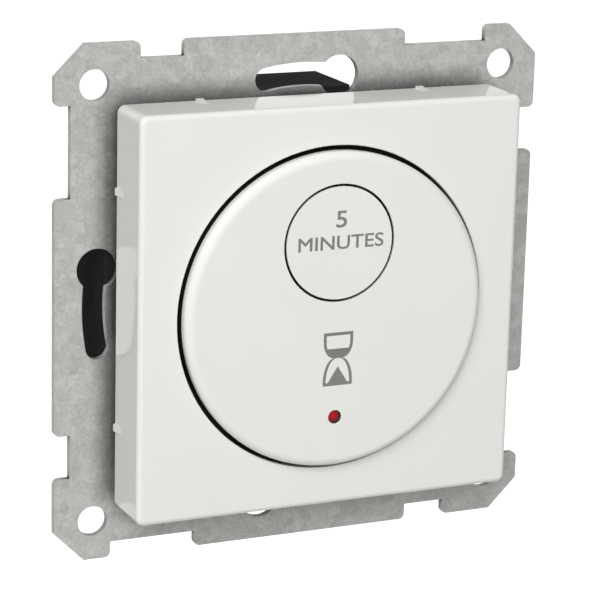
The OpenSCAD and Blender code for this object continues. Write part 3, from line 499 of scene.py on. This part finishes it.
def bulb_outlines(end_z, straight):
    """The end bar and the two curved strokes of one bulb."""
    left, right, bar_z = GLASS_X - GLASS_W / 2, GLASS_X + GLASS_W / 2, bar_inside(end_z)
    bar = [(left, end_z), (right, end_z), (right, bar_z), (left, bar_z)]
    outside = bulb_side(end_z, straight, 0.0)
    inside = bulb_side(end_z, straight, STROKE)
    return [bar] + both_sides(outside + inside[::-1])


def sand_outlines():
    """Sand left in the upper bulb, and the pile on the lower bar."""
    level = GLASS_NECK + (GLASS_TOP - GLASS_NECK) * SAND_LEVEL
    bulb = bulb_side(GLASS_TOP, TOP_STRAIGHT, STROKE)
    right, left = both_sides([(x, z) for x, z in bulb if z <= level])
    pile_half, pile_foot = GLASS_W * PILE_SHARE, GLASS_FOOT + STROKE
    peak = GLASS_FOOT + (GLASS_NECK - GLASS_FOOT) * PILE_PEAK
    pile = [(GLASS_X - pile_half, pile_foot), (GLASS_X + pile_half, pile_foot), (GLASS_X, peak)]
    return [right + left[::-1], pile]


def print_shapes(name, outlines, body):
    """Flat closed outlines, in x and z, raised from the face as one printed sign."""
    mesh = bpy.data.meshes.new(name)
    work = bmesh.new()
    for outline in outlines:
        back = [work.verts.new((x, face_y + INK_ROOT, z)) for x, z in outline]
        front = [work.verts.new((x, face_y - INK_DEPTH, z)) for x, z in outline]
        faces = [work.faces.new(front), work.faces.new(back[::-1])]
        for k in range(len(outline)):
            faces.append(work.faces.new((front[k - 1], front[k], back[k], back[k - 1])))
        bmesh.ops.recalc_face_normals(work, faces=faces)
    bmesh.ops.triangulate(work, faces=[face for face in work.faces if len(face.verts) > 4])
    work.to_mesh(mesh)
    work.free()
    printed(name, mesh, body)


upper_bulb = bulb_outlines(GLASS_TOP, TOP_STRAIGHT)
lower_bulb = bulb_outlines(GLASS_FOOT, FOOT_STRAIGHT)
print_shapes("hourglass_sign", upper_bulb + lower_bulb + sand_outlines(), "insert")


# Light guide: a clear red acrylic pin whose dome shows on the disc, over the lamp on the board.
# Light through the dome from the upper left is painted in as a bright red core, and shade is
# painted as darker red towards the hole's wall.

def red_acrylic():
    """Red acrylic, with painted light along a line beside its axis and painted shade away from it.
    """
    core_x, core_z, core_radius, rim_radius = -0.3 * MM, -14.4 * MM, 0.1 * MM, 0.95 * MM
    painted_lit_red, red, painted_shade_red = (0.5, 0.006, 0.009), (0.32, 0.0025, 0.005), (0.035, 0.0008, 0.0015)
    cloud_size, cloud_share, clearness, shine = 0.4 * MM, 0.12, 0.06, 0.15
    glossy, dull = 0.05, 0.1
    ripple_size, ripple_depth, edge_radius = 0.5 * MM, 0.002 * MM, 0.03 * MM
    made, tree, shader, place = new_finish("red_acrylic")
    along = add_node(tree, "SeparateXYZ", {"Vector": place}).outputs["Y"]
    core = add_node(tree, "CombineXYZ", {"X": core_x, "Y": along, "Z": core_z}).outputs["Vector"]
    from_core = add_node(tree, "VectorMath", {0: place, 1: core}, operation="DISTANCE")
    # Painted light and shade: bright red near the core line, darker red towards the hole's wall.
    depth = spread(tree, from_core.outputs["Value"], core_radius, rim_radius)
    clouded = blended(tree, cloud_share, depth, mottle(tree, place, cloud_size))
    paint(tree, shader, shades(tree, clouded, painted_lit_red, red, painted_shade_red),
          mottle(tree, place, cloud_size, glossy, dull))
    shader.inputs["Transmission Weight"].default_value = clearness
    shader.inputs["Specular IOR Level"].default_value = shine
    ripple = mottle(tree, place, ripple_size)
    relief(tree, shader, ripple, ripple_depth, broken_edges(tree, edge_radius))
    return made


finish_parts({"light_guide": red_acrylic()})


# Studio: a pale floor well below the object, a large soft key light from the upper left, a second
# light for the back, and an even fill.
# To the eye, and in metal and gloss, the surroundings are white.

WHITE = (1.0, 1.0, 1.0, 1.0)
FILL, SEEN = 0.25, 1.0


def seen_share(tree):
    """1 where the camera, a reflection or a clear piece looks at it, and 0 for soft light."""
    path = add_node(tree, "LightPath").outputs
    share = path["Is Camera Ray"]
    for ray in ("Is Glossy Ray", "Is Transmission Ray"):
        either = add_node(tree, "Math", {0: share, 1: path[ray]}, operation="MAXIMUM")
        share = either.outputs["Value"]
    return share


world = bpy.data.worlds.new("studio")
world.use_nodes = True
bpy.context.scene.world = world
sky_tree = world.node_tree
sky = sky_tree.nodes["Background"]
sky.inputs["Color"].default_value = WHITE
sky_tree.links.new(spread(sky_tree, seen_share(sky_tree), 0.0, 1.0, FILL, SEEN),
                   sky.inputs["Strength"])

FLOOR_HALF, FLOOR_DROP = 3.0, 300 * MM
FLOOR_GREY, FLOOR_ROUGHNESS = (0.4, 0.4, 0.4, 1.0), 0.9
NEAR_REACH, FAR_REACH, NEAR_GLOW, FAR_GLOW = 0.25, 0.6, 0.88, 1.0
floor_mesh = bpy.data.meshes.new("floor")
floor_mesh.from_pydata([(x * FLOOR_HALF, y * FLOOR_HALF, cad_low.z - FLOOR_DROP)
                        for x, y in ((-1, -1), (1, -1), (1, 1), (-1, 1))], [], [(0, 1, 2, 3)])
floor = put("floor", floor_mesh)
floor_finish, floor_tree, floor_shader, floor_place = new_finish("pale_floor")
floor_shader.inputs["Base Color"].default_value = FLOOR_GREY
floor_shader.inputs["Roughness"].default_value = FLOOR_ROUGHNESS
floor_shader.inputs["Specular IOR Level"].default_value = 0.0
floor_shader.inputs["Emission Color"].default_value = WHITE
away = add_node(floor_tree, "VectorMath", {0: floor_place}, operation="LENGTH").outputs["Value"]
glow = spread(floor_tree, away, NEAR_REACH, FAR_REACH, NEAR_GLOW, FAR_GLOW)
floor_tree.links.new(spread(floor_tree, seen_share(floor_tree), 0.0, 1.0, 0.0, glow),
                     floor_shader.inputs["Emission Strength"])
floor_mesh.materials.append(floor_finish)

LIGHT_AWAY, LIGHT_SIZE = 0.8, 0.6
KEY_SIDE, KEY_POWER = Vector((-0.43, -0.755, 0.495)), 6.3
BACK_SIDE, BACK_POWER = Vector((0.5, 0.85, 0.1)), 7.0


def soft_box(name, side, power):
    """A square area light on one side of the object and turned to it, which gloss doesn't show."""
    lamp = bpy.data.lights.new(name, "AREA")
    lamp.size = LIGHT_SIZE
    lamp.energy = power
    box = put(name, lamp)
    box.location = side * LIGHT_AWAY
    box.rotation_mode = "QUATERNION"
    box.rotation_quaternion = (-side).to_track_quat("-Z", "Y")
    box.visible_glossy = False


soft_box("key_light", KEY_SIDE, KEY_POWER)
soft_box("back_light", BACK_SIDE, BACK_POWER)


# Camera: the photograph's view, from the left and a little above, with a long lens.
# It looks at a point just in front of the plate and close to its middle.

AZIMUTH, ELEVATION, ROLL = math.radians(-24.77), math.radians(14.82), math.radians(1.481)
DISTANCE, LENS, SENSOR = 365.1 * MM, 158.98, 36.0
LOOK_AT = Vector((0.23, -1.0, -1.54)) * MM
backward = Vector((math.sin(AZIMUTH) * math.cos(ELEVATION),
                   -math.cos(AZIMUTH) * math.cos(ELEVATION), math.sin(ELEVATION)))
view = bpy.data.cameras.new("view")
view.lens = LENS
view.sensor_width = SENSOR
view.clip_start, view.clip_end = 0.01, 20.0
camera = put("view", view)
camera.location = LOOK_AT + backward * DISTANCE
camera.rotation_mode = "QUATERNION"
camera.rotation_quaternion = (-backward).to_track_quat("-Z", "Y") @ Quaternion((0, 0, 1), ROLL)
bpy.context.scene.camera = camera
bpy.context.scene.view_settings.view_transform = "Standard"
